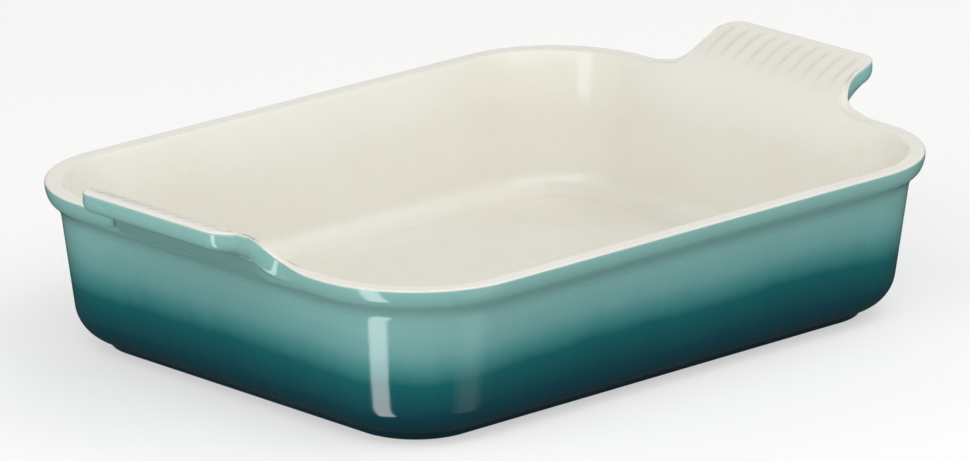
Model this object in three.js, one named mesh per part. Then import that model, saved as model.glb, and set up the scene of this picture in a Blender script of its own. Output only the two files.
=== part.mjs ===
// A rectangular stoneware baking dish: a pressed body with a rolled rim, a lifting handle at each
// end, a foot ring to stand on, and three coats of glaze. Cream covers the inside, the rim and the
// tops of the handles. Teal covers the outside and the side of the foot ring, which is left bare
// where it stands, and a separate patch of teal fills the base.
// X runs along the length, Y across, Z up from the plane of the foot. Lengths are in millimetres.
import * as THREE from 'three';

const DEGREE = Math.PI / 180;

// Plan of the rim, measured over the glaze.
const RIM_LENGTH = 320;
const RIM_WIDTH = 249;
const RIM_CORNER_RADIUS = 53;
const RIM_HEIGHT = 70;

// Section of the rim, from the inside to the outside.
const SHOULDER_RADIUS = 2.2;
const RIM_LAND = 5.5;
const RIM_EDGE_RADIUS = 1.3;
const COLOUR_LINE_ANGLE = 20 * DEGREE;
const LIP_FACE_RADIUS = 12;
const LIP_FACE_HEIGHT = 5.5;
const LIP_ROLL_RADIUS = 5;
const LIP_SLOPE = 50 * DEGREE;
const COVE_RADIUS = 10;

// Section of the wall and the floor.
const WALL_TAPER = 7.6 * DEGREE;
const OUTER_WALL_INSET = 4.63;
const WALL_THICKNESS = 6.5;
const FLARE_RADIUS = 80;
const FLOOR_THICKNESS = 7.5;
const FLOOR_FILLET_RADIUS = 10;
const BELLY_RADIUS = 15.5;
const BELLY_HEIGHT = 3.5;
const GLAZE_THICKNESS = 0.4;
const GLAZE_CLEARANCE = 0.02;

// Foot ring, as insets from the rim.
const FOOT_TOP_INSET = 24.5;
const FOOT_LEDGE = 0.2;
const FOOT_BOTTOM_INSET = 27;
const FOOT_GLAZE_INSET = 26.2;
const FOOT_GLAZE_HEIGHT = 0.6;
const FOOT_GROUND_WIDTH = 7;
const FOOT_TOP_WIDTH = 10.5;

// Handles: a tongue that sweeps up and out of the inner wall on one arc.
const HANDLE_HEIGHT = 87.2;
const HANDLE_REACH = 26;
const HANDLE_CREST = 28;
const HANDLE_WIDTH = 87;
const HANDLE_THICKNESS = 7.8;
const HANDLE_CORNER_RADIUS = 9.5;
const HANDLE_ROOT_RADIUS = 10;
const HANDLE_RUN_IN = 13;
const HANDLE_LIFT_LENGTH = 30;
const HANDLE_SEAT = 3.5;
const HANDLE_LOWER_EDGE = 1.2;
const HANDLE_UNDERCUT = 2.4;
const HANDLE_JOINT_GAP = 0.1;

// Grip ribs across the top of each handle.
const RIB_PITCH = 8;
const RIB_DEPTH = 0.4;
const RIB_GROOVES = 10;

// How finely the curves are divided.
const CORNER_STEPS = 10;

const clay = new THREE.MeshStandardMaterial({ color: 0xd8c7ac, roughness: 0.9, metalness: 0 });
const cream = new THREE.MeshStandardMaterial({ color: 0xe6e3d6, roughness: 0.2, metalness: 0 });
const teal = new THREE.MeshStandardMaterial({ color: 0x2a7274, roughness: 0.15, metalness: 0 });
const navy = new THREE.MeshStandardMaterial({ color: 0x16384a, roughness: 0.2, metalness: 0 });

const halfLength = RIM_LENGTH / 2;
const halfWidth = RIM_WIDTH / 2;

function mix(a, b, share) {
  return a + (b - a) * share;
}

function eased(share) {
  const held = Math.min(Math.max(share, 0), 1);
  return held * held * (3 - 2 * held);
}

function onArc(centre, radius, angle) {
  return {
    inset: centre.inset + radius * Math.cos(angle),
    z: centre.z + radius * Math.sin(angle),
  };
}

// Section of the dish, as an inset from the rim's outline and a height.
const shoulder = { inset: RIM_LAND, z: RIM_HEIGHT - SHOULDER_RADIUS };

function outerWall(z) {
  return OUTER_WALL_INSET + (RIM_HEIGHT - z) * Math.tan(WALL_TAPER);
}

function innerWall(z) {
  return outerWall(z) + WALL_THICKNESS / Math.cos(WALL_TAPER);
}

// Above the middle of the inner wall, a wide flare leads out to the shoulder of the rim.
const flareDepth = (innerWall(shoulder.z) - shoulder.inset) * Math.cos(WALL_TAPER);
const flareSlope = WALL_TAPER
  + Math.acos((FLARE_RADIUS - flareDepth) / (FLARE_RADIUS - SHOULDER_RADIUS));
const flare = onArc(shoulder, SHOULDER_RADIUS - FLARE_RADIUS, flareSlope);
const flareFoot = onArc(flare, FLARE_RADIUS, WALL_TAPER);

const bellyZ = BELLY_HEIGHT + BELLY_RADIUS;
const belly = { inset: outerWall(bellyZ) + BELLY_RADIUS / Math.cos(WALL_TAPER), z: bellyZ };
const wallAngle = Math.PI + WALL_TAPER;
const glazeEndAngle = Math.PI + Math.acos((belly.inset - FOOT_TOP_INSET) / BELLY_RADIUS);
const glazeEnd = onArc(belly, BELLY_RADIUS, glazeEndAngle);

const floorZ = glazeEnd.z + FLOOR_THICKNESS;
const filletZ = floorZ + FLOOR_FILLET_RADIUS;
const fillet = {
  inset: innerWall(filletZ) + FLOOR_FILLET_RADIUS / Math.cos(WALL_TAPER),
  z: filletZ,
};

const edge = { inset: RIM_EDGE_RADIUS, z: RIM_HEIGHT - RIM_EDGE_RADIUS };
const colourLine = onArc(edge, RIM_EDGE_RADIUS, Math.PI - COLOUR_LINE_ANGLE);
const lipFace = { inset: LIP_FACE_RADIUS, z: edge.z };
const lipFaceAngle = Math.PI + Math.asin(LIP_FACE_HEIGHT / LIP_FACE_RADIUS);
const lipFaceEnd = onArc(lipFace, LIP_FACE_RADIUS, lipFaceAngle);
const lipRoll = onArc(lipFace, LIP_FACE_RADIUS - LIP_ROLL_RADIUS, lipFaceAngle);
const lipRoot = onArc(lipRoll, LIP_ROLL_RADIUS, Math.PI + LIP_SLOPE);

// The lip has a rounded outer face, which rolls under to its root.
function lipZ(inset) {
  const onFace = inset < lipFaceEnd.inset;
  const centre = onFace ? lipFace : lipRoll;
  const radius = onFace ? LIP_FACE_RADIUS : LIP_ROLL_RADIUS;
  const across = centre.inset - Math.max(inset, 0);
  return centre.z - Math.sqrt(radius ** 2 - across ** 2);
}

const lipRun = (outerWall(lipRoot.z) - lipRoot.inset)
  / (Math.sin(LIP_SLOPE) - Math.cos(LIP_SLOPE) * Math.tan(WALL_TAPER));
const coveRun = lipRun - COVE_RADIUS * Math.tan((LIP_SLOPE - WALL_TAPER) / 2);
const cove = {
  inset: lipRoot.inset + coveRun * Math.sin(LIP_SLOPE) - COVE_RADIUS * Math.cos(LIP_SLOPE),
  z: lipRoot.z - coveRun * Math.cos(LIP_SLOPE) - COVE_RADIUS * Math.sin(LIP_SLOPE),
};

// The arc of a handle's top touches the inner wall and lies level at its crest.
const handleRadius = (HANDLE_CREST + innerWall(HANDLE_HEIGHT))
  / (Math.cos(WALL_TAPER) - (1 - Math.sin(WALL_TAPER)) * Math.tan(WALL_TAPER));
const handleArc = { inset: -HANDLE_CREST, z: HANDLE_HEIGHT - handleRadius };
const handleFoot = onArc(handleArc, handleRadius, WALL_TAPER);
const seatAngle = Math.acos((HANDLE_CREST + HANDLE_SEAT) / handleRadius);

function handleTopZ(inset) {
  return handleArc.z + Math.sqrt(handleRadius ** 2 - (inset + HANDLE_CREST) ** 2);
}

function handleUnderZ(inset) {
  const radius = handleRadius - HANDLE_THICKNESS;
  return handleArc.z + Math.sqrt(radius ** 2 - (inset + HANDLE_CREST) ** 2);
}

// Stations run once round the dish, each with a place on the rim and the way out from it.
// Detail says which rows use it: 0 for all, 1 for the rim and handles, 2 for the ribs.
// Lift is how far the edge has climbed to the handle, and clear how far it stands off the rim.
function cornerStations(signX, signY, start) {
  const list = [];
  for (let step = 0; step <= CORNER_STEPS; step += 1) {
    const angle = start + (Math.PI / 2) * (step / CORNER_STEPS);
    const out = new THREE.Vector2(Math.cos(angle), Math.sin(angle));
    const centre = new THREE.Vector2(
      signX * (halfLength - RIM_CORNER_RADIUS),
      signY * (halfWidth - RIM_CORNER_RADIUS),
    );
    const root = centre.addScaledVector(out, RIM_CORNER_RADIUS);
    list.push({ detail: 0, root, out, tip: root, tipOut: out, lift: 0, clear: 0, turn: 1 });
  }
  return list;
}

// One half of the +X end, from the plain rim to the middle of the handle.
function halfHandle() {
  const side = HANDLE_WIDTH / 2;
  const rootStart = side + HANDLE_ROOT_RADIUS;
  const list = [];
  const add = (detail, rootY, tipX, tipY, outX, outY, travel) => list.push({
    detail,
    root: new THREE.Vector2(halfLength, rootY),
    out: new THREE.Vector2(1, 0),
    tip: new THREE.Vector2(tipX, tipY),
    tipOut: new THREE.Vector2(outX, outY),
    lift: eased(travel / HANDLE_LIFT_LENGTH),
    clear: eased((tipX - halfLength) / HANDLE_ROOT_RADIUS),
    turn: 1,
  });
  for (const share of [0, 0.4, 0.75]) {
    const y = rootStart + HANDLE_RUN_IN * (1 - share);
    add(1, y, halfLength, y, 1, 0, HANDLE_RUN_IN * share);
  }
  const filletX = halfLength + HANDLE_ROOT_RADIUS;
  for (const step of [0, 1, 2, 3]) {
    const angle = step * 30 * DEGREE;
    const outX = Math.cos(angle);
    const outY = Math.sin(angle);
    const rootY = mix(rootStart, side + 1, step / 3);
    const travel = HANDLE_RUN_IN + HANDLE_ROOT_RADIUS * angle;
    const tipX = filletX - HANDLE_ROOT_RADIUS * outX;
    add(1, rootY, tipX, rootStart - HANDLE_ROOT_RADIUS * outY, outX, outY, travel);
  }
  const cornerX = halfLength + HANDLE_REACH - HANDLE_CORNER_RADIUS;
  const cornerY = side - HANDLE_CORNER_RADIUS;
  for (const angle of [0, 25 * DEGREE, 50 * DEGREE, 75 * DEGREE]) {
    const outX = Math.sin(angle);
    const outY = Math.cos(angle);
    const tipY = cornerY + HANDLE_CORNER_RADIUS * outY;
    const rootY = Math.min(tipY, side - outX);
    add(1, rootY, cornerX + HANDLE_CORNER_RADIUS * outX, tipY, outX, outY, HANDLE_LIFT_LENGTH);
  }
  const lines = Math.floor(cornerY / (RIB_PITCH / 2));
  for (let line = lines; line >= 0; line -= 1) {
    const y = line * RIB_PITCH / 2;
    const detail = line === lines ? 1 : 2;
    add(detail, y, halfLength + HANDLE_REACH, y, 1, 0, HANDLE_LIFT_LENGTH);
  }
  return list;
}

function handleStations(turn) {
  const half = halfHandle();
  const mirrored = half.slice(0, -1).map((station) => ({
    ...station,
    root: new THREE.Vector2(station.root.x, -station.root.y),
    tip: new THREE.Vector2(station.tip.x, -station.tip.y),
    tipOut: new THREE.Vector2(station.tipOut.x, -station.tipOut.y),
  }));
  const whole = mirrored.concat(half.reverse());
  return whole.map((station) => ({ ...station, turn }));
}

const farHandle = handleStations(1);
const nearHandle = handleStations(-1);
const stations = [
  ...cornerStations(1, 1, 0),
  ...cornerStations(-1, 1, Math.PI / 2),
  ...nearHandle,
  ...cornerStations(-1, -1, Math.PI),
  ...cornerStations(1, -1, Math.PI * 1.5),
  ...farHandle,
];
const nearStart = 2 * (CORNER_STEPS + 1);
const nearEnd = nearStart + nearHandle.length - 1;
const farEnd = stations.length - 1;
const farStart = farEnd - farHandle.length + 1;

function pointAt(station, plan, z) {
  return new THREE.Vector3(plan.x * station.turn, plan.y * station.turn, z);
}

function along(station, inset) {
  return station.root.clone().addScaledVector(station.out, -inset);
}

function fromTip(station, inset) {
  return station.tip.clone().addScaledVector(station.tipOut, -inset);
}

function groove(y) {
  const half = RIB_PITCH / 2;
  const inField = Math.abs(y) < RIB_PITCH * RIB_GROOVES / 2;
  return inField ? 1 - Math.abs((Math.abs(y) % RIB_PITCH) - half) / half : 0;
}

// A row that keeps to the plain section all round.
function plainRow(place, detail = 0) {
  return { detail, point: (station) => pointAt(station, along(station, place.inset), place.z) };
}

// A row between the inner wall and the handle's seat, on the shoulder or on the handle's arc.
function sweptRow(place, angle) {
  const raised = onArc(handleArc, handleRadius, angle);
  return {
    detail: 1,
    point: (station) => {
      const inset = mix(place.inset, raised.inset, station.lift);
      return pointAt(station, along(station, inset), mix(place.z, raised.z, station.lift));
    },
  };
}

function seatPlan(station) {
  return along(station, mix(RIM_LAND, HANDLE_SEAT, station.lift));
}

// A height that climbs from the plain rim to the handle, which is only worked out where it is.
function climb(station, plainZ, handleZ) {
  return station.lift > 0 ? mix(plainZ, handleZ(), station.lift) : plainZ;
}

function topZ(station, plan) {
  return climb(station, RIM_HEIGHT, () => handleTopZ(halfLength - plan.x));
}

// A row on the land of the rim, which widens into the handle's top and carries the ribs.
function landRow(share, ribs) {
  return {
    detail: 2,
    point: (station) => {
      const plan = seatPlan(station).lerp(fromTip(station, RIM_EDGE_RADIUS), share);
      const cut = station.lift === 1 ? RIB_DEPTH * ribs * groove(plan.y) : 0;
      return pointAt(station, plan, topZ(station, plan) - cut);
    },
  };
}

const colourLineRow = {
  detail: 2,
  point: (station) => {
    const drop = RIM_HEIGHT - colourLine.z;
    const z = topZ(station, fromTip(station, RIM_EDGE_RADIUS)) - drop;
    return pointAt(station, fromTip(station, colourLine.inset), z);
  },
};

// A row on the edge of the rim or the handle, a share of the way down it.
function edgeRow(inset, handleInset, share) {
  return {
    detail: 1,
    point: (station) => {
      const topInset = halfLength - fromTip(station, RIM_EDGE_RADIUS).x;
      const handleZ = () => handleTopZ(topInset) - HANDLE_THICKNESS * share;
      const plan = fromTip(station, mix(inset, handleInset, station.clear));
      return pointAt(station, plan, climb(station, lipZ(inset), handleZ));
    },
  };
}

// A row on the lip's face, which runs out along the underside of the handle.
function underRow(share) {
  return {
    detail: 1,
    point: (station) => {
      const outer = fromTip(station, mix(lipRoot.inset / 5, HANDLE_UNDERCUT, station.clear));
      const plan = outer.lerp(along(station, lipRoot.inset), share);
      const inset = station.root.clone().sub(plan).dot(station.out);
      return pointAt(station, plan, climb(station, lipZ(inset), () => handleUnderZ(inset)));
    },
  };
}

const floorRows = [1, 0.8, 0.6, 0.4, 0.2, 0].map((share) => plainRow(
  onArc(fillet, FLOOR_FILLET_RADIUS, mix(wallAngle, Math.PI * 1.5, share)),
));
const sweepAngle = Math.asin((handleFoot.z - flare.z) / FLARE_RADIUS);
const sweptRows = [
  ...[0, 0.25, 0.5, 0.75, 1].map((share) => sweptRow(
    onArc(flare, FLARE_RADIUS, mix(sweepAngle, flareSlope, share)),
    mix(WALL_TAPER, seatAngle, share / 2),
  )),
  ...[0.33, 0.67, 1].map((share) => sweptRow(
    onArc(shoulder, SHOULDER_RADIUS, mix(flareSlope, Math.PI / 2, share)),
    mix(WALL_TAPER, seatAngle, (1 + share) / 2),
  )),
];
const topRows = [landRow(0.22, 0), landRow(0.45, 1), landRow(0.7, 1), landRow(0.85, 0), landRow(1, 0)];
const underRows = [
  edgeRow(0, 0, 0.5),
  edgeRow(lipRoot.inset / 20, HANDLE_LOWER_EDGE, 0.88),
  underRow(0),
  underRow(0.35),
  underRow(0.7),
];
const wallRows = [
  plainRow(lipRoot, 1),
  plainRow(onArc(cove, COVE_RADIUS, LIP_SLOPE), 1),
  ...[0.67, 0.33, 0].map((share) => plainRow(
    onArc(cove, COVE_RADIUS, mix(WALL_TAPER, LIP_SLOPE, share)),
  )),
  ...[0, 0.35, 0.68, 1].map((share) => plainRow(
    onArc(belly, BELLY_RADIUS, mix(wallAngle, glazeEndAngle, share)),
  )),
];

function pointsOf(row) {
  return stations.map((station) => (station.detail <= row.detail ? row.point(station) : null));
}

// A centre point counts as a row with only one place in it.
function centreAt(z) {
  return stations.map((station, index) => (index === 0 ? new THREE.Vector3(0, 0, z) : null));
}

function following(row, index) {
  let next = index + 1;
  while (next < stations.length && row[next] === null) {
    next += 1;
  }
  return next;
}

// Triangles that join each row to the next, between two stations.
function sheet(rows, first = 0, last = stations.length) {
  const faces = [];
  const add = (a, b, c) => {
    if (a !== b && b !== c && c !== a) {
      faces.push([a, b, c]);
    }
  };
  for (let level = 0; level + 1 < rows.length; level += 1) {
    const near = rows[level];
    const far = rows[level + 1];
    const pick = (row, index) => row[index % stations.length];
    let a = first;
    let b = first;
    while (a < last || b < last) {
      const nextA = following(near, a);
      const nextB = following(far, b);
      if (nextA === nextB) {
        add(pick(near, a), pick(far, b), pick(far, nextB));
        add(pick(near, a), pick(far, nextB), pick(near, nextA));
        a = nextA;
        b = nextB;
      } else if (nextA < nextB) {
        add(pick(near, a), pick(far, b), pick(near, nextA));
        a = nextA;
      } else {
        add(pick(near, a), pick(far, b), pick(far, nextB));
        b = nextB;
      }
    }
  }
  return faces;
}

function turned(faces) {
  return faces.map(([a, b, c]) => [a, c, b]);
}

// The flat end of a handle, where its section has shrunk to that of the plain rim.
function endFace(rows, index) {
  const ring = rows.map((row) => row[index]).filter((point) => point !== null);
  const last = ring[ring.length - 1];
  return ring.slice(0, -2).map((point, place) => [last, point, ring[place + 1]]);
}

function geometryOf(faces) {
  const numbers = new Map();
  const positions = [];
  const index = [];
  for (const face of faces) {
    for (const point of face) {
      if (!numbers.has(point)) {
        numbers.set(point, numbers.size);
        positions.push(point.x, point.y, point.z);
      }
      index.push(numbers.get(point));
    }
  }
  const geometry = new THREE.BufferGeometry();
  geometry.setAttribute('position', new THREE.Float32BufferAttribute(positions, 3));
  geometry.setIndex(index);
  geometry.computeVertexNormals();
  return { geometry, numbers };
}

// The finished surface, over the glaze, from the middle of the floor to the foot.
const insideFinish = [
  centreAt(floorZ),
  ...floorRows.map(pointsOf),
  pointsOf(plainRow(flareFoot)),
  ...sweptRows.map(pointsOf),
  ...topRows.map(pointsOf),
  pointsOf(colourLineRow),
];
const outsideFinish = [
  insideFinish[insideFinish.length - 1],
  ...underRows.map(pointsOf),
  ...wallRows.map(pointsOf),
  pointsOf(plainRow({ inset: FOOT_GLAZE_INSET, z: FOOT_GLAZE_HEIGHT })),
];

// The back of the glaze and the face of the clay lie below it, almost touching.
const finish = geometryOf([...sheet(insideFinish), ...sheet(outsideFinish)]);

function sunkRows(rows, depth) {
  const normals = finish.geometry.attributes.normal;
  const sunk = (point) => point.clone().addScaledVector(
    new THREE.Vector3().fromBufferAttribute(normals, finish.numbers.get(point)),
    -depth,
  );
  return rows.map((row) => row.map((point) => (point === null ? null : sunk(point))));
}

const coatDepth = GLAZE_THICKNESS - GLAZE_CLEARANCE;
const finishRows = [...insideFinish, ...outsideFinish.slice(1)];
const coatRows = sunkRows(finishRows, coatDepth);
const clayRows = sunkRows(finishRows, GLAZE_THICKNESS);
const colourLevel = insideFinish.length - 1;
const insideCoat = coatRows.slice(0, colourLevel + 1);
const outsideCoat = coatRows.slice(colourLevel);

// The base is flat, with the foot ring under its edge.
const footPlace = onArc(belly, BELLY_RADIUS - GLAZE_THICKNESS, glazeEndAngle);
const baseZ = footPlace.z;
const footInnerInset = footPlace.inset + FOOT_TOP_WIDTH;
const baseEdge = pointsOf(plainRow(footPlace));
const footOuterTop = pointsOf(plainRow({ inset: footPlace.inset + FOOT_LEDGE, z: baseZ }));
const footInnerTop = pointsOf(plainRow({ inset: footInnerInset, z: baseZ }));
const footOuterGround = pointsOf(plainRow({ inset: FOOT_BOTTOM_INSET, z: 0 }));
const footInnerGround = pointsOf(plainRow({ inset: FOOT_BOTTOM_INSET + FOOT_GROUND_WIDTH, z: 0 }));
const baseCentre = centreAt(baseZ);
const baseGlazeZ = baseZ - GLAZE_THICKNESS;
const baseGlazeInset = footInnerInset + GLAZE_THICKNESS;
const baseGlazeEdge = pointsOf(plainRow({ inset: baseGlazeInset, z: baseGlazeZ }));
const baseGlazeCentre = centreAt(baseGlazeZ);

// The rim of the clay runs from the handle's seat on its top to the root of the lip.
const seatLevel = colourLevel - topRows.length - 1;
const lipLevel = colourLevel + underRows.length + 1;
const rimClay = clayRows.slice(seatLevel, lipLevel + 1);
const rootClay = [rimClay[0], rimClay[rimClay.length - 1]];
const lowerClay = [
  ...clayRows.slice(lipLevel, -2),
  baseEdge,
  footOuterTop,
  footInnerTop,
  baseCentre,
];

// A handle stands off its seat by a fine joint, along the rim and at both of its ends.
function handleRows(first, last) {
  const length = rimClay[0][last].clone().sub(rimClay[0][first]).normalize();
  const bottom = rimClay.length - 1;
  return rimClay.map((row, level) => row.map((point, index) => {
    if (point === null || index < first || index > last) {
      return null;
    }
    const moved = point.clone();
    if (level === 0 || level === bottom) {
      const next = rimClay[level === 0 ? 1 : bottom - 1][index];
      moved.addScaledVector(next.clone().sub(point).normalize(), HANDLE_JOINT_GAP);
    }
    if (index === first || index === last) {
      moved.addScaledVector(length, index === first ? HANDLE_JOINT_GAP : -HANDLE_JOINT_GAP);
    }
    return moved;
  }));
}

const bodyFaces = [
  ...sheet(clayRows.slice(0, seatLevel + 1)),
  ...sheet(rimClay, 0, nearStart),
  ...endFace(rimClay, nearStart),
  ...sheet(rootClay, nearStart, nearEnd),
  ...turned(endFace(rimClay, nearEnd)),
  ...sheet(rimClay, nearEnd, farStart),
  ...endFace(rimClay, farStart),
  ...sheet(rootClay, farStart, farEnd),
  ...turned(endFace(rimClay, farEnd)),
  ...sheet(rimClay, farEnd, stations.length),
  ...sheet(lowerClay),
];

function handleFaces(first, last) {
  const rows = handleRows(first, last);
  const root = [rows[0], rows[rows.length - 1]];
  return [
    ...turned(endFace(rows, first)),
    ...sheet(rows, first, last),
    ...turned(sheet(root, first, last)),
    ...endFace(rows, last),
  ];
}

const colourCut = [finishRows[colourLevel], coatRows[colourLevel]];
const footCut = [finishRows[finishRows.length - 1], coatRows[coatRows.length - 1]];
const insideGlazeFaces = [
  ...sheet(insideFinish),
  ...sheet(colourCut),
  ...turned(sheet(insideCoat)),
];
const outsideGlazeFaces = [
  ...turned(sheet(colourCut)),
  ...sheet(outsideFinish),
  ...sheet(footCut),
  ...turned(sheet(outsideCoat)),
];
const footFaces = [
  ...sheet([footOuterTop, footOuterGround, footInnerGround, footInnerTop]),
  ...turned(sheet([footOuterTop, footInnerTop])),
];
const baseGlazeFaces = [
  ...sheet([footInnerTop, baseGlazeEdge, baseGlazeCentre]),
  ...turned(sheet([footInnerTop, baseCentre])),
];

const dish = new THREE.Group();

function addPiece(name, faces, material) {
  const piece = new THREE.Mesh(geometryOf(faces).geometry, material);
  piece.name = name;
  dish.add(piece);
}

addPiece('stoneware_body', bodyFaces, clay);
addPiece('near_handle', handleFaces(nearStart, nearEnd), clay);
addPiece('far_handle', handleFaces(farStart, farEnd), clay);
addPiece('foot_ring', footFaces, clay);
addPiece('inside_glaze', insideGlazeFaces, cream);
addPiece('outside_glaze', outsideGlazeFaces, teal);
addPiece('base_glaze', baseGlazeFaces, navy);

export default dish;
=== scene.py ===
# A glazed stoneware baking dish: the pressed body and its handles, the foot ring that it stands on,
# the cream glaze poured inside, the shaded teal glaze sprayed outside, and the glaze under the base.
import math

import bpy
import numpy as np
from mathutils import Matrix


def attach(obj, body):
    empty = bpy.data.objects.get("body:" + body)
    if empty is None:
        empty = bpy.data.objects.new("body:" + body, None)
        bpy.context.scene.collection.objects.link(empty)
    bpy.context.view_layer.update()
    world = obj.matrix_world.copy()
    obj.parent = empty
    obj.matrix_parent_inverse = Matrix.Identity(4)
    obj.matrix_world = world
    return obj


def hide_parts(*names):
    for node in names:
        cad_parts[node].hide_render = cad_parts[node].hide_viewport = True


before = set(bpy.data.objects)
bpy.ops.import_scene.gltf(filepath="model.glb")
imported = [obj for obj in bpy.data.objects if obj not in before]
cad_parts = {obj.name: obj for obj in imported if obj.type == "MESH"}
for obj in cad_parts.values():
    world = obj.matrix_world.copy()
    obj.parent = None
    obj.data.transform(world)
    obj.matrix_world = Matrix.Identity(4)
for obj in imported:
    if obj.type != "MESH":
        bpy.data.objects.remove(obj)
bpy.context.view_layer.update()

scene = bpy.context.scene
scene.view_settings.view_transform = "Standard"


# Body and handles. The body is pressed from buff stoneware clay, and the two handles are joined to
# its rim before firing. Glaze hides nearly all of it, so the solids stay as they are.
MM = 0.001


def linear(hex_colour):
    """An sRGB colour, written as six hex digits, as linear red, green, blue and alpha."""
    shares = [int(hex_colour[place:place + 2], 16) / 255 for place in (0, 2, 4)]
    light = [s / 12.92 if s <= 0.04045 else ((s + 0.055) / 1.055) ** 2.4 for s in shares]
    return (*light, 1.0)


def add_node(tree, kind, inputs=None, stops=None, **settings):
    """Adds a node. An input is a plain value or another node's output, and stops fill a ramp."""
    node = tree.nodes.new(kind)
    for name, value in settings.items():
        setattr(node, name, value)
    for name, value in (inputs or {}).items():
        if isinstance(value, bpy.types.NodeSocket):
            tree.links.new(value, node.inputs[name])
        else:
            node.inputs[name].default_value = value
    for place, (position, colour) in enumerate(stops or ()):
        points = node.color_ramp.elements
        point = points[place] if place < 2 else points.new(position)
        point.position = position
        point.color = colour if len(colour) == 4 else linear(colour)
    return node


def new_finish(name):
    """An empty material, its node tree and the dish's own coordinates in metres."""
    material = bpy.data.materials.new(name)
    material.use_nodes = True
    material.node_tree.nodes.clear()
    place = add_node(material.node_tree, "ShaderNodeTexCoord").outputs["Object"]
    return material, material.node_tree, place


def end_finish(tree, inputs):
    """Ends a material's node tree with its surface."""
    surface = add_node(tree, "ShaderNodeBsdfPrincipled", inputs)
    add_node(tree, "ShaderNodeOutputMaterial", {"Surface": surface.outputs["BSDF"]})


def grey(level):
    return (level, level, level, 1.0)


# Fired stoneware: a dry, matt buff clay. The eye sees fine sandy grit and a few iron specks in it.
CLAY_GRIT = 0.9 * MM
CLAY_GRIT_DEPTH = 0.15 * MM
CLAY_CLOUD = 22 * MM
IRON_SPECK_SPACING = 5 * MM
stoneware, tree, place = new_finish("stoneware")
cloud = add_node(tree, "ShaderNodeTexNoise", {"Vector": place, "Scale": 1 / CLAY_CLOUD, "Detail": 3})
clay_colour = add_node(
    tree, "ShaderNodeValToRGB", {"Fac": cloud.outputs["Fac"]},
    stops=[(0.35, "CDBA9C"), (0.65, "DCCDB4")],
)
speck = add_node(
    tree, "ShaderNodeTexVoronoi", {"Vector": place, "Scale": 1 / IRON_SPECK_SPACING},
)
speck_mask = add_node(
    tree, "ShaderNodeValToRGB", {"Fac": speck.outputs["Distance"]},
    stops=[(0.05, grey(1)), (0.09, grey(0))],
)
speckled = add_node(
    tree, "ShaderNodeMixRGB",
    {"Fac": speck_mask.outputs["Color"], "Color1": clay_colour.outputs["Color"],
     "Color2": linear("8E7455")},
)
grit = add_node(tree, "ShaderNodeTexNoise", {"Vector": place, "Scale": 1 / CLAY_GRIT, "Detail": 4})
gritty = add_node(
    tree, "ShaderNodeBump",
    {"Height": grit.outputs["Fac"], "Strength": 0.5, "Distance": CLAY_GRIT_DEPTH},
)
end_finish(tree, {
    "Base Color": speckled.outputs["Color"], "Roughness": 0.85, "IOR": 1.5,
    "Normal": gritty.outputs["Normal"],
})

for clay_piece in ("stoneware_body", "near_handle", "far_handle"):
    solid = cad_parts[clay_piece]
    solid.data.materials.clear()
    solid.data.materials.append(stoneware)


# Foot ring. A low ridge of the same clay round the base. Its standing face is wiped clean of glaze
# before firing, so that the dish doesn't stick to the kiln shelf, and then ground flat.
RIM_LENGTH = 320
RIM_WIDTH = 249
RIM_CORNER_RADIUS = 53
RIM_HEIGHT = 70
WALL_TAPER = math.radians(7.6)
OUTER_WALL_INSET = 4.63
BELLY_RADIUS = 15.5
BELLY_HEIGHT = 3.5
GLAZE_THICKNESS = 0.4
FOOT_TOP_INSET = 24.5
FOOT_LEDGE = 0.2
FOOT_BOTTOM_INSET = 27
FOOT_GROUND_WIDTH = 7
FOOT_TOP_WIDTH = 10.5
FOOT_EDGE_RADIUS = 0.9
FOOT_EDGE_ROWS = 6
CORNER_STEPS = 24

HALF_LENGTH = RIM_LENGTH / 2
HALF_WIDTH = RIM_WIDTH / 2


def on_arc(centre, radius, angle):
    """An inset from the rim and a height, on an arc of the dish's section."""
    return centre[0] + radius * math.cos(angle), centre[1] + radius * math.sin(angle)


def outer_wall(height):
    return OUTER_WALL_INSET + (RIM_HEIGHT - height) * math.tan(WALL_TAPER)


belly_height = BELLY_HEIGHT + BELLY_RADIUS
belly = (outer_wall(belly_height) + BELLY_RADIUS / math.cos(WALL_TAPER), belly_height)
glaze_end_angle = math.pi + math.acos((belly[0] - FOOT_TOP_INSET) / BELLY_RADIUS)
glaze_end = on_arc(belly, BELLY_RADIUS, glaze_end_angle)
foot_top = on_arc(belly, BELLY_RADIUS - GLAZE_THICKNESS, glaze_end_angle)


def corner(sign_x, sign_y, start):
    """Points round one corner of the rim's outline, and the way out from each."""
    angle = start + np.linspace(0, math.pi / 2, CORNER_STEPS + 1)
    out = np.column_stack((np.cos(angle), np.sin(angle)))
    centre = np.array((sign_x * (HALF_LENGTH - RIM_CORNER_RADIUS),
                       sign_y * (HALF_WIDTH - RIM_CORNER_RADIUS)))
    return centre + RIM_CORNER_RADIUS * out, out


corners = [
    corner(1, 1, 0),
    corner(-1, 1, math.pi / 2),
    corner(-1, -1, math.pi),
    corner(1, -1, math.pi * 1.5),
]
outline = np.concatenate([points for points, out in corners])
outline_out = np.concatenate([out for points, out in corners])


def ring_at(inset, height):
    """A row of points round the plain dish, without its handles."""
    return np.column_stack((outline - inset * outline_out, np.full(len(outline), height)))


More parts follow.
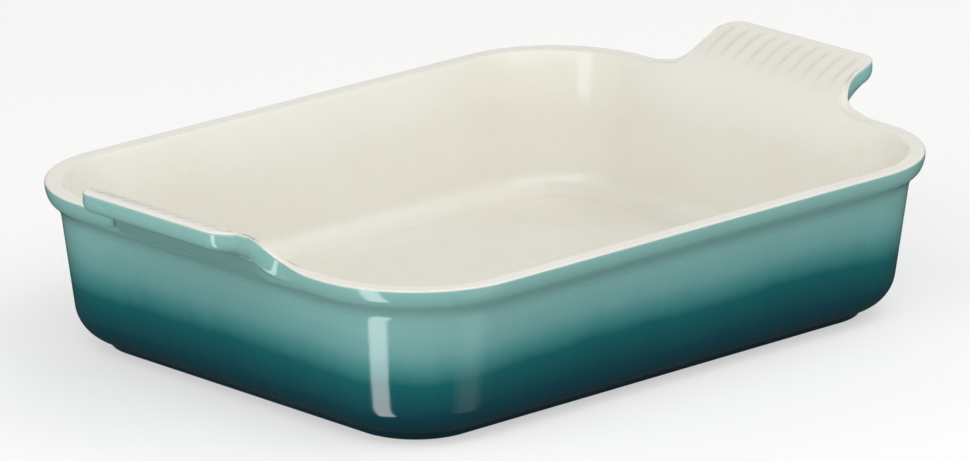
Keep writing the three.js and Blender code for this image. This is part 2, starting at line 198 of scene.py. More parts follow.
def loft(name, rows, closed=False, first_cap=False, last_cap=False):
    """Skins rows of points, each once round the dish and given in millimetres, as a smooth mesh."""
    count = len(rows[0])
    levels = len(rows)
    faces = []
    for level in range(levels if closed else levels - 1):
        near = level * count
        far = (level + 1) % levels * count
        for here in range(count):
            after = (here + 1) % count
            faces.append((near + here, far + here, far + after, near + after))
    if first_cap:
        faces.append(tuple(range(count)))
    if last_cap:
        faces.append(tuple(reversed(range((levels - 1) * count, levels * count))))
    mesh = bpy.data.meshes.new(name)
    mesh.from_pydata(np.concatenate(rows) * MM, [], faces)
    mesh.shade_smooth()
    piece = bpy.data.objects.new(name, mesh)
    scene.collection.objects.link(piece)
    return piece


foot_outer = (FOOT_BOTTOM_INSET + FOOT_EDGE_RADIUS, FOOT_EDGE_RADIUS)
foot_inner = (FOOT_BOTTOM_INSET + FOOT_GROUND_WIDTH - FOOT_EDGE_RADIUS, FOOT_EDGE_RADIUS)
foot_section = [(foot_top[0] + FOOT_LEDGE, foot_top[1])]
foot_turns = np.linspace(math.pi, 1.5 * math.pi, FOOT_EDGE_ROWS)
foot_section += [on_arc(foot_outer, FOOT_EDGE_RADIUS, turn) for turn in foot_turns]
foot_section += [on_arc(foot_inner, FOOT_EDGE_RADIUS, turn + math.pi / 2) for turn in foot_turns]
foot_section += [(foot_top[0] + FOOT_TOP_WIDTH, foot_top[1])]
foot_ring = loft("foot_ring_bare", [ring_at(*point) for point in foot_section], closed=True)
foot_ring.data.materials.append(stoneware)
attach(foot_ring, "root")
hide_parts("foot_ring")


# Inside glaze. A cream glaze poured into the dish and drained, covering the floor, the inner walls,
# the top of the rim and the ribbed tops of the handles, and fired to a glassy coat 0.4 mm thick.
FLOOR_THICKNESS = 7.5
WALL_THICKNESS = 6.5
FLARE_RADIUS = 80
SHOULDER_RADIUS = 2.2
RIM_LAND = 5.5
FLOOR_FILLET_RADIUS = 10
RIM_EDGE_RADIUS = 1.3
COLOUR_LINE_ANGLE = math.radians(20)
HANDLE_HEIGHT = 87.2
HANDLE_REACH = 26
HANDLE_CREST = 28
HANDLE_WIDTH = 87
HANDLE_CORNER_RADIUS = 9.5
HANDLE_ROOT_RADIUS = 10
HANDLE_RUN_IN = 13
HANDLE_LIFT_LENGTH = 30
HANDLE_SEAT = 3.5
SIDE_SPREAD = 1
RIB_PITCH = 8
RIB_DEPTH = 0.4
RIB_GROOVES = 10
RIB_SHARPNESS = 1.5
GLAZE_CLEARANCE = 0.02

# Where the grooves between the ribs start and end, as shares of the handle's top from seat to tip.
GROOVE_START = 0.1
GROOVE_RISE = 0.3
GROOVE_END = 0.88
GROOVE_FALL = 0.2

# How many rows and stations give each stretch of the coat a smooth surface.
RUN_IN_STATIONS = 12
ROOT_STATIONS = 17
TIP_STATIONS = 31
TOP_STATIONS = 66
FILLET_ROWS = 15
SWEEP_ROWS = 21
LAND_ROWS = 22
EDGE_ROWS = 7


def inner_wall(height):
    return outer_wall(height) + WALL_THICKNESS / math.cos(WALL_TAPER)


shoulder = (RIM_LAND, RIM_HEIGHT - SHOULDER_RADIUS)
flare_depth = (inner_wall(shoulder[1]) - shoulder[0]) * math.cos(WALL_TAPER)
flare_slope = WALL_TAPER + math.acos((FLARE_RADIUS - flare_depth) / (FLARE_RADIUS - SHOULDER_RADIUS))
flare = on_arc(shoulder, SHOULDER_RADIUS - FLARE_RADIUS, flare_slope)
floor_height = glaze_end[1] + FLOOR_THICKNESS
fillet_height = floor_height + FLOOR_FILLET_RADIUS
fillet = (inner_wall(fillet_height) + FLOOR_FILLET_RADIUS / math.cos(WALL_TAPER), fillet_height)
handle_radius = (HANDLE_CREST + inner_wall(HANDLE_HEIGHT)) / (
    math.cos(WALL_TAPER) - (1 - math.sin(WALL_TAPER)) * math.tan(WALL_TAPER))
handle_arc = (-HANDLE_CREST, HANDLE_HEIGHT - handle_radius)
handle_foot = on_arc(handle_arc, handle_radius, WALL_TAPER)
sweep_angle = math.asin((handle_foot[1] - flare[1]) / FLARE_RADIUS)
seat_angle = math.acos((HANDLE_CREST + HANDLE_SEAT) / handle_radius)


def mix(start, end, share):
    return start + (end - start) * share


def eased(share):
    held = np.clip(share, 0, 1)
    return held * held * (3 - 2 * held)


def half_handle():
    """Stations from the plain rim to the middle of a handle: root, tip, way out at the tip, travel.

    The roots are spread a little about the handle's side, so that no two stations share one."""
    side = HANDLE_WIDTH / 2
    start = side + HANDLE_ROOT_RADIUS
    stations = []
    for share in np.linspace(0, 1, RUN_IN_STATIONS, endpoint=False):
        y = start + HANDLE_RUN_IN * (1 - share)
        stations.append((y, HALF_LENGTH, y, 1, 0, HANDLE_RUN_IN * share))
    for turn in np.linspace(0, math.pi / 2, ROOT_STATIONS):
        out_x, out_y = math.cos(turn), math.sin(turn)
        stations.append((
            mix(start, side + SIDE_SPREAD, turn / (math.pi / 2)),
            HALF_LENGTH + HANDLE_ROOT_RADIUS * (1 - out_x), start - HANDLE_ROOT_RADIUS * out_y,
            out_x, out_y, HANDLE_RUN_IN + HANDLE_ROOT_RADIUS * turn))
    corner_x = HALF_LENGTH + HANDLE_REACH - HANDLE_CORNER_RADIUS
    corner_y = side - HANDLE_CORNER_RADIUS
    for turn in np.linspace(0, math.pi / 2, TIP_STATIONS):
        out_x, out_y = math.sin(turn), math.cos(turn)
        tip_y = corner_y + HANDLE_CORNER_RADIUS * out_y
        stations.append((
            min(tip_y, side - SIDE_SPREAD * out_x), corner_x + HANDLE_CORNER_RADIUS * out_x, tip_y,
            out_x, out_y, HANDLE_LIFT_LENGTH))
    for y in np.linspace(corner_y, 0, TOP_STATIONS)[1:]:
        stations.append((y, HALF_LENGTH + HANDLE_REACH, y, 1, 0, HANDLE_LIFT_LENGTH))
    return np.array(stations)


half = half_handle()
mirrored = half[:-1] * (-1, 1, -1, 1, -1, 1)
handle = np.concatenate((mirrored, half[::-1]))
handle_root = np.column_stack((np.full(len(handle), HALF_LENGTH), handle[:, 0]))
handle_out = np.tile((1.0, 0.0), (len(handle), 1))
handle_tip = handle[:, 1:3]
handle_tip_out = handle[:, 3:5]
handle_lift = eased(handle[:, 5] / HANDLE_LIFT_LENGTH)
handle_clear = eased((handle[:, 1] - HALF_LENGTH) / HANDLE_ROOT_RADIUS)
plain = np.zeros(2 * (CORNER_STEPS + 1))
back_corners, front_corners = slice(0, len(plain)), slice(len(plain), 2 * len(plain))


def all_round(on_rim, on_handle):
    """Values for every station: two corners, the near handle, two corners, the far handle."""
    return np.concatenate((on_rim[back_corners], on_handle, on_rim[front_corners], on_handle))


root = all_round(outline, handle_root)
root_out = all_round(outline_out, handle_out)
tip = all_round(outline, handle_tip)
tip_out = all_round(outline_out, handle_tip_out)
lift = all_round(np.tile(plain, 2), handle_lift)
clear = all_round(np.tile(plain, 2), handle_clear)
turned = np.concatenate((plain + 1, np.full(len(handle), -1), plain + 1, np.full(len(handle), 1)))


def placed(plan, height):
    """A row of points from its plan and height. The near handle is the far one turned about."""
    return np.column_stack((plan * turned[:, None], np.broadcast_to(height, turned.shape)))


def along(inset):
    return root - root_out * np.reshape(inset, (-1, 1))


def from_tip(inset):
    return tip - tip_out * np.reshape(inset, (-1, 1))


def plain_row(point):
    return placed(along(point[0]), point[1])


def arc_rows(centre, radius, start, end, count):
    """Rows along an arc of the section, from one angle to another."""
    return [plain_row(on_arc(centre, radius, turn)) for turn in np.linspace(start, end, count)]


def arc_height(radius, inset):
    """Height on an arc about the handle's centre, over an inset from the rim."""
    across = np.maximum(radius ** 2 - (inset + HANDLE_CREST) ** 2, 0)
    return handle_arc[1] + np.sqrt(across)


def swept_row(share):
    """A row up the flare and over the shoulder, which follows the handle's arc at the ends."""
    if share < 0.5:
        low = on_arc(flare, FLARE_RADIUS, mix(sweep_angle, flare_slope, share * 2))
    else:
        low = on_arc(shoulder, SHOULDER_RADIUS, mix(flare_slope, math.pi / 2, share * 2 - 1))
    high = on_arc(handle_arc, handle_radius, mix(WALL_TAPER, seat_angle, share))
    return placed(along(mix(low[0], high[0], lift)), mix(low[1], high[1], lift))


def top_height(plan):
    return mix(RIM_HEIGHT, arc_height(handle_radius, HALF_LENGTH - plan[:, 0]), lift)


def rib_cut(plan, strength):
    """How deep the grooves between the rounded ribs are cut into a handle's top."""
    y = np.abs(plan[:, 1])
    from_groove = np.abs(y % RIB_PITCH - RIB_PITCH / 2) / (RIB_PITCH / 2)
    cut = RIB_DEPTH * strength * (0.5 + 0.5 * np.cos(math.pi * from_groove)) ** RIB_SHARPNESS
    return np.where((lift >= 1) & (y < RIB_PITCH * RIB_GROOVES / 2), cut, 0)


def land_row(share):
    """A row on the flat of the rim, which widens into the ribbed top of a handle."""
    plan = mix(along(mix(RIM_LAND, HANDLE_SEAT, lift)), from_tip(RIM_EDGE_RADIUS), share)
    strength = eased((share - GROOVE_START) / GROOVE_RISE) * eased((GROOVE_END - share) / GROOVE_FALL)
    return placed(plan, top_height(plan) - rib_cut(plan, strength))


def rim_edge_row(turn):
    """A row on the rounded outer edge of the rim or a handle."""
    drop = RIM_EDGE_RADIUS * (1 - math.sin(turn))
    height = top_height(from_tip(RIM_EDGE_RADIUS)) - drop
    return placed(from_tip(RIM_EDGE_RADIUS * (1 + math.cos(turn))), height)


inside_rows = arc_rows(fillet, FLOOR_FILLET_RADIUS, 1.5 * math.pi, math.pi + WALL_TAPER, FILLET_ROWS)
inside_rows += [plain_row(on_arc(flare, FLARE_RADIUS, WALL_TAPER))]
inside_rows += [swept_row(share) for share in np.linspace(0, 1, SWEEP_ROWS)]
inside_rows += [land_row(share) for share in np.linspace(0, 1, LAND_ROWS)[1:]]
edge_turns = np.linspace(math.pi / 2, math.pi - COLOUR_LINE_ANGLE, EDGE_ROWS)[1:]
inside_rows += [rim_edge_row(turn) for turn in edge_turns]


def glaze_coat(name, rows, finish, **caps):
    """A coat of glaze: its fired surface, thickened back to just off the clay."""
    coat = loft(name, rows, **caps)
    coat.data.materials.append(finish)
    back = coat.modifiers.new("coat", "SOLIDIFY")
    back.thickness = (GLAZE_THICKNESS - GLAZE_CLEARANCE) * MM
    back.offset = -1
    return coat


# Cream glaze: an opaque glossy coat. The eye sees it drift a little warmer and cooler over the
# floor and walls, and darken in the grooves between the ribs. That darkening is partly where the
# glaze pools and partly painted shade of the hollows. It also ripples slightly where it ran.
CREAM_DRIFT = 70 * MM
CREAM_MOTTLE = 7 * MM
GROOVE_POOL_AND_SHADE_START = 2.2 * MM
GLAZE_RIPPLE = 14 * MM
GLAZE_RIPPLE_DEPTH = 0.1 * MM

# Nearly all of a noise pattern lies between these two values.
NOISE_LOW = 0.3
NOISE_HIGH = 0.7


def rippled_glaze(tree, place, depth=GLAZE_RIPPLE_DEPTH, strength=0.4, detail=1):
    """The way a glaze's surface faces, where it rippled as it ran."""
    ripple = add_node(
        tree, "ShaderNodeTexNoise", {"Vector": place, "Scale": 1 / GLAZE_RIPPLE, "Detail": detail},
    )
    rippled = add_node(
        tree, "ShaderNodeBump",
        {"Height": ripple.outputs["Fac"], "Strength": strength, "Distance": depth},
    )
    return rippled.outputs["Normal"]


cream_glaze, tree, place = new_finish("cream_glaze")
drift = add_node(tree, "ShaderNodeTexNoise", {"Vector": place, "Scale": 1 / CREAM_DRIFT, "Detail": 2})
mottle = add_node(tree, "ShaderNodeTexNoise", {"Vector": place, "Scale": 1 / CREAM_MOTTLE, "Detail": 4})
blend = add_node(
    tree, "ShaderNodeMixRGB",
    {"Fac": 0.3, "Color1": drift.outputs["Fac"], "Color2": mottle.outputs["Fac"]},
)
cream_colour = add_node(
    tree, "ShaderNodeValToRGB", {"Fac": blend.outputs["Color"]},
    stops=[(0.38, "E4E1D6"), (0.62, "E7E5DC")],
)
gloss = add_node(
    tree, "ShaderNodeMapRange",
    {"Value": mottle.outputs["Fac"], "From Min": NOISE_LOW, "From Max": NOISE_HIGH,
     "To Min": 0.13, "To Max": 0.2},
)
spot = add_node(tree, "ShaderNodeSeparateXYZ", {"Vector": place}).outputs
# Glaze pooling and painted shade: the grooves between the handle's ribs are darkened in the colour,
# partly for glaze that pools there and partly for the shade that falls in the hollows.
from_rib = add_node(
    tree, "ShaderNodeMath", {0: spot["Y"], 1: RIB_PITCH * MM / 2}, operation="PINGPONG",
)
pooled_and_shaded = add_node(
    tree, "ShaderNodeMapRange",
    {"Value": from_rib.outputs["Value"], "From Min": GROOVE_POOL_AND_SHADE_START,
     "From Max": RIB_PITCH * MM / 2},
    interpolation_type="SMOOTHSTEP",
)
outward = add_node(tree, "ShaderNodeMath", {0: spot["X"]}, operation="ABSOLUTE")
on_handle = add_node(
    tree, "ShaderNodeMapRange",
    {"Value": outward.outputs["Value"], "From Min": HALF_LENGTH * MM,
     "From Max": (HALF_LENGTH + HANDLE_REACH) * MM},
)
groove_length = add_node(
    tree, "ShaderNodeValToRGB", {"Fac": on_handle.outputs["Result"]},
    stops=[(0.0, grey(0)), (0.25, grey(1)), (0.65, grey(1)), (0.85, grey(0))],
)
groove_pool_and_shade = add_node(
    tree, "ShaderNodeMath", {0: pooled_and_shaded.outputs["Result"], 1: groove_length.outputs["Color"]},
    operation="MULTIPLY",
)
pooled_and_shaded_colour = add_node(
    tree, "ShaderNodeMixRGB",
    {"Fac": groove_pool_and_shade.outputs["Value"], "Color1": cream_colour.outputs["Color"],
     "Color2": linear("D9D5C9")},
)
end_finish(tree, {
    "Base Color": pooled_and_shaded_colour.outputs["Color"], "Roughness": gloss.outputs["Result"], "IOR": 1.5,
    "Normal": rippled_glaze(tree, place),
})

cream_coat = glaze_coat("inside_glaze_cream", inside_rows, cream_glaze, first_cap=True)
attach(cream_coat, "root")
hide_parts("inside_glaze")


# Outside glaze. A teal glaze sprayed on the outer walls in two shades that fade into each other,
# from the colour line on the rim, under the handles and down to the foot.
LIP_FACE_RADIUS = 12
LIP_FACE_HEIGHT = 5.5
LIP_ROLL_RADIUS = 5
LIP_SLOPE = math.radians(50)
COVE_RADIUS = 10
HANDLE_THICKNESS = 7.8
HANDLE_UNDERCUT = 2.4
LIP_UNDERCUT_SHARE = 0.2
FOOT_GLAZE_INSET = 26.2
FOOT_GLAZE_HEIGHT = 0.6

# The glaze gathers under a handle, whose underside turns down into the lip over its last stretch.
UNDER_GATHER = 0.3
ROOT_START = 0.55
ROOT_CURVE = 1.6

# How many rows follow each curve, and where rows cross the straight stretches, as shares of each.
EDGE_FACE_ROWS = 4
LOWER_EDGE_ROWS = 10
UNDER_ROWS = 20
COVE_ROWS = 9
BELLY_ROWS = 19
LIP_SHARES = (0.35, 0.7)
WALL_SHARES = (0.25, 0.5, 0.75)
FOOT_SHARES = (0.08, 0.35, 0.65, 0.9, 1)

edge_height = RIM_HEIGHT - RIM_EDGE_RADIUS
lip_face = (LIP_FACE_RADIUS, edge_height)
lip_face_angle = math.pi + math.asin(LIP_FACE_HEIGHT / LIP_FACE_RADIUS)
lip_face_end = on_arc(lip_face, LIP_FACE_RADIUS, lip_face_angle)
lip_roll = on_arc(lip_face, LIP_FACE_RADIUS - LIP_ROLL_RADIUS, lip_face_angle)
lip_root = on_arc(lip_roll, LIP_ROLL_RADIUS, math.pi + LIP_SLOPE)
lip_run = (outer_wall(lip_root[1]) - lip_root[0]) / (
    math.sin(LIP_SLOPE) - math.cos(LIP_SLOPE) * math.tan(WALL_TAPER))
cove_run = lip_run - COVE_RADIUS * math.tan((LIP_SLOPE - WALL_TAPER) / 2)
cove = (
    lip_root[0] + cove_run * math.sin(LIP_SLOPE) - COVE_RADIUS * math.cos(LIP_SLOPE),
    lip_root[1] - cove_run * math.cos(LIP_SLOPE) - COVE_RADIUS * math.sin(LIP_SLOPE),
)


def lip_height(inset):
    """Height on the lip's rounded outer face, or on the roll under it."""
    held = np.maximum(inset, 0)
    face_drop = np.sqrt(np.maximum(LIP_FACE_RADIUS ** 2 - (lip_face[0] - held) ** 2, 0))
    roll_drop = np.sqrt(np.maximum(LIP_ROLL_RADIUS ** 2 - (lip_roll[0] - held) ** 2, 0))
    return np.where(held < lip_face_end[0], lip_face[1] - face_drop, lip_roll[1] - roll_drop)


def under_height(inset):
    return arc_height(handle_radius - HANDLE_THICKNESS - UNDER_GATHER, inset)


undercut = mix(lip_root[0] * LIP_UNDERCUT_SHARE, HANDLE_UNDERCUT, clear)
handle_top = arc_height(handle_radius, HALF_LENGTH - from_tip(RIM_EDGE_RADIUS)[:, 0])
handle_middle = handle_top - HANDLE_THICKNESS / 2


def edge_face_row(share):
    """A row between the colour line and the middle of the outer edge."""
    colour_row = inside_rows[-1]
    middle = placed(tip, mix(edge_height, handle_middle, lift))
    return mix(colour_row, middle, share)


def lower_edge_row(turn):
    """A row round the lower edge, where it turns under the handle."""
    inset = undercut * (1 - math.cos(turn))
    under = under_height(HALF_LENGTH - from_tip(undercut)[:, 0])
    handle_height = mix(handle_middle, under, math.sin(turn))
    return placed(from_tip(inset), mix(lip_height(inset), handle_height, lift))


def under_row(share):
    """A row along the underside of the handle to the root of the lip."""
    plan = mix(from_tip(undercut), along(lip_root[0]), share)
    inset = np.sum((root - plan) * root_out, axis=1)
    root_turn = max(share - ROOT_START, 0) / (1 - ROOT_START)
    handle_height = mix(under_height(inset), lip_root[1], root_turn ** ROOT_CURVE)
    return placed(plan, mix(lip_height(inset), handle_height, lift))


def straight_rows(start, end, shares):
    """Rows down a straight stretch of the section."""
    return [plain_row((mix(start[0], end[0], share), mix(start[1], end[1], share))) for share in shares]


cove_start = on_arc(cove, COVE_RADIUS, LIP_SLOPE)
cove_end = on_arc(cove, COVE_RADIUS, WALL_TAPER)
wall_foot = on_arc(belly, BELLY_RADIUS, math.pi + WALL_TAPER)
outside_rows = [edge_face_row(share) for share in np.linspace(0, 1, EDGE_FACE_ROWS)]
outside_rows += [lower_edge_row(turn) for turn in np.linspace(0, math.pi / 2, LOWER_EDGE_ROWS)[1:]]
outside_rows += [under_row(share) for share in np.linspace(0, 1, UNDER_ROWS)[1:]]
outside_rows += straight_rows(lip_root, cove_start, LIP_SHARES)
outside_rows += arc_rows(cove, COVE_RADIUS, LIP_SLOPE, WALL_TAPER, COVE_ROWS)
outside_rows += straight_rows(cove_end, wall_foot, WALL_SHARES)
outside_rows += arc_rows(belly, BELLY_RADIUS, math.pi + WALL_TAPER, glaze_end_angle, BELLY_ROWS)
outside_rows += straight_rows(glaze_end, (FOOT_GLAZE_INSET, FOOT_GLAZE_HEIGHT), FOOT_SHARES)

# Teal glaze: a deep glossy coat, pale at the rim and almost navy at the foot. The eye sees the two
# sprays meet in a soft cloudy band half way down, lower at the corners, with faint runs, and a hard
# bright gloss. Each spray colour is given with its height over the table, in millimetres.
SPRAY_CLOUD = 34 * MM
RUN_WIDTH = 5 * MM
RUN_LENGTH = 45 * MM
TEAL_MOTTLE = 2.5 * MM
CLOUD_DEPTH = 5 * MM
RUN_DEPTH = 1.5 * MM
CORNER_DIP = 4 * MM
CORNER_FADE = 60 * MM
CORNER_REACH = RIM_CORNER_RADIUS * MM / 3
END_DIP_SHARE = 0.5
MEAN_DIP_SHARE = 0.7
SPRAY_COLOURS = [
    (3, "123D49"), (7, "13434F"), (14, "134550"), (21, "16575C"), (28, "196569"), (35, "4D908F"),
    (42, "72AAA8"), (50, "83B6B3"), (62, "8CBDB8"), (87, "8FBFBA"),
]
teal_glaze, tree, place = new_finish("teal_glaze")
spot = add_node(tree, "ShaderNodeSeparateXYZ", {"Vector": place})
cornered = []
for axis, rim_size, least in (("X", RIM_LENGTH, 0), ("Y", RIM_WIDTH, END_DIP_SHARE)):
    offset = add_node(tree, "ShaderNodeMath", {0: spot.outputs[axis]}, operation="ABSOLUTE")
    corner_start = rim_size * MM / 2 - CORNER_REACH
    cornered.append(add_node(
        tree, "ShaderNodeMapRange",
        {"Value": offset.outputs["Value"], "From Min": corner_start - CORNER_FADE,
         "From Max": corner_start, "To Min": least},
        interpolation_type="SMOOTHSTEP",
    ))
corner_share = add_node(
    tree, "ShaderNodeMath", {0: cornered[0].outputs["Result"], 1: cornered[1].outputs["Result"]},
    operation="MULTIPLY",
)
dipped = add_node(
    tree, "ShaderNodeMath", {0: corner_share.outputs["Value"], 1: CORNER_DIP, 2: spot.outputs["Z"]},
    operation="MULTIPLY_ADD",
)
cloud = add_node(tree, "ShaderNodeTexNoise", {"Vector": place, "Scale": 1 / SPRAY_CLOUD, "Detail": 3})
stretched = add_node(
    tree, "ShaderNodeMapping",
    {"Vector": place, "Scale": (1 / RUN_WIDTH, 1 / RUN_WIDTH, 1 / RUN_LENGTH)},
)
runs = add_node(
    tree, "ShaderNodeTexNoise", {"Vector": stretched.outputs["Vector"], "Scale": 1, "Detail": 2},
)
clouded = add_node(
    tree, "ShaderNodeMath", {0: cloud.outputs["Fac"], 1: CLOUD_DEPTH, 2: dipped.outputs["Value"]},
    operation="MULTIPLY_ADD",
)
streaked = add_node(
    tree, "ShaderNodeMath", {0: runs.outputs["Fac"], 1: RUN_DEPTH, 2: clouded.outputs["Value"]},
    operation="MULTIPLY_ADD",
)
middle_shift = (CLOUD_DEPTH + RUN_DEPTH) / 2 + CORNER_DIP * MEAN_DIP_SHARE
spray_place = add_node(
    tree, "ShaderNodeMapRange",
    {"Value": streaked.outputs["Value"], "From Min": middle_shift,
     "From Max": middle_shift + HANDLE_HEIGHT * MM},
)
sprayed = add_node(
    tree, "ShaderNodeValToRGB", {"Fac": spray_place.outputs["Result"]},
    stops=[(high / HANDLE_HEIGHT, colour) for high, colour in SPRAY_COLOURS],
)
mottle = add_node(tree, "ShaderNodeTexNoise", {"Vector": place, "Scale": 1 / TEAL_MOTTLE, "Detail": 3})
mottle_shade = add_node(
    tree, "ShaderNodeMapRange",
    {"Value": mottle.outputs["Fac"], "From Min": NOISE_LOW, "From Max": NOISE_HIGH,
     "To Min": 0.98, "To Max": 1.02},
)
teal_colour = add_node(
    tree, "ShaderNodeMixRGB",
    {"Fac": 1.0, "Color1": sprayed.outputs["Color"], "Color2": mottle_shade.outputs["Result"]},
    blend_type="MULTIPLY",
)
gloss = add_node(
    tree, "ShaderNodeMapRange",
    {"Value": cloud.outputs["Fac"], "From Min": NOISE_LOW, "From Max": NOISE_HIGH,
     "To Min": 0.09, "To Max": 0.14},
)
end_finish(tree, {
    "Base Color": teal_colour.outputs["Color"], "Roughness": gloss.outputs["Result"], "IOR": 1.5,
    "Normal": rippled_glaze(tree, place),
})

teal_coat = glaze_coat("outside_glaze_teal", outside_rows, teal_glaze)
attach(teal_coat, "root")
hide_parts("outside_glaze")


# Base glaze. The darkest spray of the outside glaze, brushed over the base inside the foot ring to
# seal the clay there. It ends in a rounded bead against the ring.
BEAD_ROWS = 6
base_edge = foot_top[0] + FOOT_TOP_WIDTH
bead_centre = (base_edge + GLAZE_THICKNESS, foot_top[1])
bead_turns = np.linspace(math.pi, 1.5 * math.pi, BEAD_ROWS)
base_rows = [ring_at(*on_arc(bead_centre, GLAZE_THICKNESS, turn)) for turn in bead_turns]

# Navy glaze: the same glass as the teal, thick and dark. The eye sees brush clouds and soft gloss.
BRUSH_CLOUD = 26 * MM
BRUSH_RIPPLE_DEPTH = 0.12 * MM
navy_glaze, tree, place = new_finish("navy_glaze")
cloud = add_node(tree, "ShaderNodeTexNoise", {"Vector": place, "Scale": 1 / BRUSH_CLOUD, "Detail": 5})
navy_colour = add_node(
    tree, "ShaderNodeValToRGB", {"Fac": cloud.outputs["Fac"]},
    stops=[(0.35, "113139"), (0.65, "184750")],
)
gloss = add_node(
    tree, "ShaderNodeMapRange",
    {"Value": cloud.outputs["Fac"], "From Min": NOISE_LOW, "From Max": NOISE_HIGH,
     "To Min": 0.15, "To Max": 0.28},
)
end_finish(tree, {
    "Base Color": navy_colour.outputs["Color"], "Roughness": gloss.outputs["Result"], "IOR": 1.5,
    "Normal": rippled_glaze(tree, place, depth=BRUSH_RIPPLE_DEPTH, strength=0.5, detail=2),
})

base_coat = loft("base_glaze_navy", base_rows, first_cap=True, last_cap=True)
base_coat.data.materials.append(navy_glaze)
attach(base_coat, "root")
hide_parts("base_glaze")


# Studio. A pale paper floor, tall strip softboxes to the left and right, and broad softboxes high up
# in front, at the side and overhead, in an even white room. The paper is hidden from reflections, so
# the glaze mirrors the strips down to the foot, also where they reach below the paper.
FLOOR_SIZE = 12
floor_mesh = bpy.data.meshes.new("paper_floor")
reach = FLOOR_SIZE / 2
floor_corners = [(-reach, -reach, 0), (reach, -reach, 0), (reach, reach, 0), (-reach, reach, 0)]
floor_mesh.from_pydata(floor_corners, [], [(0, 1, 2, 3)])
floor = bpy.data.objects.new("paper_floor", floor_mesh)
scene.collection.objects.link(floor)
floor.visible_glossy = False

# Seamless paper: dead matt and nearly white, with a faint fibre mottle. To the eye it glows a little,
# as a well-lit backdrop does, and the glow lights nothing else.
PAPER_FIBRE = 3 * MM
PAPER_GLOW = 0.5
paper, tree, place = new_finish("seamless_paper")
fibre = add_node(tree, "ShaderNodeTexNoise", {"Vector": place, "Scale": 1 / PAPER_FIBRE, "Detail": 3})
paper_colour = add_node(
    tree, "ShaderNodeValToRGB", {"Fac": fibre.outputs["Fac"]},
    stops=[(0.3, "B9B9B8"), (0.7, "BDBDBC")],
)
ray = add_node(tree, "ShaderNodeLightPath")
mirrored_ray = add_node(
    tree, "ShaderNodeMath",
    {0: ray.outputs["Is Camera Ray"], 1: ray.outputs["Is Glossy Ray"]}, operation="ADD",
)
shown_ray = add_node(
    tree, "ShaderNodeMath",
    {0: mirrored_ray.outputs["Value"], 1: ray.outputs["Is Transmission Ray"]}, operation="ADD",
)
glow = add_node(
    tree, "ShaderNodeMath", {0: shown_ray.outputs["Value"], 1: PAPER_GLOW}, operation="MULTIPLY",
)
end_finish(tree, {
    "Base Color": paper_colour.outputs["Color"], "Roughness": 0.95, "Specular IOR Level": 0.1,
    "Emission Color": (1, 1, 1, 1), "Emission Strength": glow.outputs["Value"],
})
floor_mesh.materials.append(paper)

# White room: bright from the table's height up to the lamps, and dim below the table and overhead.
world = bpy.data.worlds.new("white_room")
scene.world = world
world.use_nodes = True
tree = world.node_tree
tree.nodes.clear()
direction = add_node(tree, "ShaderNodeTexCoord").outputs["Generated"]
height = add_node(tree, "ShaderNodeSeparateXYZ", {"Vector": direction}).outputs["Z"]
height_share = add_node(
    tree, "ShaderNodeMapRange", {"Value": height, "From Min": -1, "From Max": 1},
)
room = add_node(
    tree, "ShaderNodeValToRGB", {"Fac": height_share.outputs["Result"]},
    stops=[(0.48, grey(0.04)), (0.5, grey(0.7)), (0.57, grey(0.7)), (0.62, grey(0.86)),
           (0.82, grey(0.84)), (0.88, grey(0.06))],
)
light = add_node(tree, "ShaderNodeBackground", {"Color": room.outputs["Color"], "Strength": 1.0})
add_node(tree, "ShaderNodeOutputWorld", {"Surface": light.outputs["Background"]})


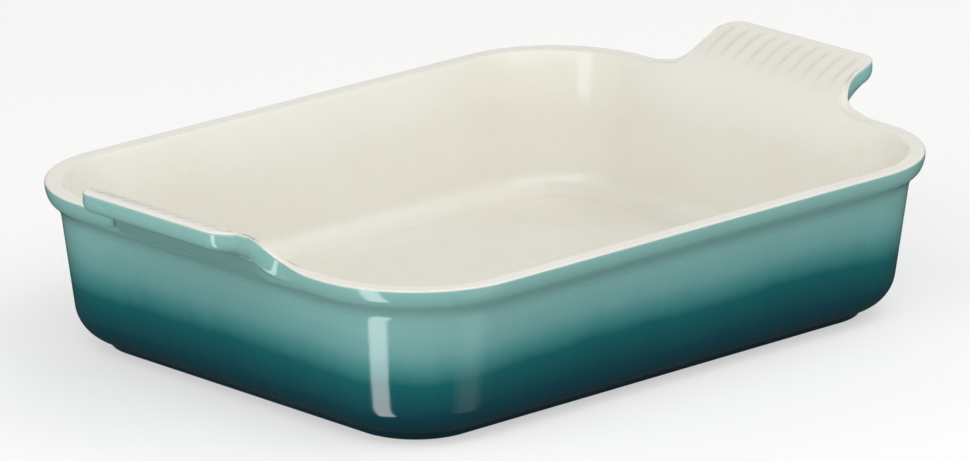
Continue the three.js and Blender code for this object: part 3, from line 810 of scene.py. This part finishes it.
def softbox(name, azimuth, rise, distance, width, tall, watts):
    """A softbox that faces the dish. Azimuth turns from +X towards +Y, and rise is over the table."""
    lamp = bpy.data.lights.new(name, "AREA")
    lamp.shape = "RECTANGLE"
    lamp.size = width
    lamp.size_y = tall
    lamp.energy = watts
    box = bpy.data.objects.new(name, lamp)
    scene.collection.objects.link(box)
    turn = math.radians(azimuth)
    lean = math.radians(rise)
    level = distance * math.cos(lean)
    box.location = (level * math.cos(turn), level * math.sin(turn), distance * math.sin(lean))
    box.rotation_euler = (math.pi / 2 - lean, 0, turn + math.pi / 2)
    box.visible_camera = False


softbox("left_softbox", azimuth=188.7, rise=-21, distance=1.72, width=0.5, tall=1.85, watts=20.5)
softbox("left_softbox_top", azimuth=188.7, rise=24.5, distance=1.8, width=0.5, tall=1.1, watts=4)
softbox("left_fill", azimuth=195, rise=52, distance=2.1, width=2.2, tall=0.7, watts=7)
softbox("right_softbox", azimuth=284.3, rise=-16, distance=1.65, width=0.55, tall=1.7, watts=1.0)
softbox("right_softbox_glow", azimuth=284.3, rise=-16, distance=1.66, width=0.95, tall=1.7, watts=1.4)
softbox("front_softbox", azimuth=238, rise=55, distance=2.2, width=2.4, tall=1.6, watts=8.5)
softbox("side_softbox", azimuth=290, rise=50, distance=2.2, width=2.4, tall=1.6, watts=10.5)
softbox("overhead_softbox", azimuth=330, rise=65, distance=2.2, width=2.0, tall=1.6, watts=7)

# Camera. Far back with a long lens, a little above the dish and off its near left corner. Aside and
# above are how far its line of sight passes from the origin.
CAMERA_LENS = 335.7
CAMERA_SENSOR = 36
CAMERA_TURN = math.radians(-43.495)
CAMERA_RISE = math.radians(16.761)
CAMERA_DISTANCE = 3.712
CAMERA_ASIDE = -0.000981
CAMERA_ABOVE = 0.039054
camera_data = bpy.data.cameras.new("camera")
camera_data.lens = CAMERA_LENS
camera_data.sensor_width = CAMERA_SENSOR
camera = bpy.data.objects.new("camera", camera_data)
scene.collection.objects.link(camera)
back = np.array((
    math.sin(CAMERA_TURN) * math.cos(CAMERA_RISE),
    -math.cos(CAMERA_TURN) * math.cos(CAMERA_RISE),
    math.sin(CAMERA_RISE),
))
right = np.array((math.cos(CAMERA_TURN), math.sin(CAMERA_TURN), 0))
up = np.cross(back, right)
camera.location = back * CAMERA_DISTANCE + right * CAMERA_ASIDE + up * CAMERA_ABOVE
camera.rotation_euler = (math.pi / 2 - CAMERA_RISE, 0, CAMERA_TURN)
scene.camera = camera
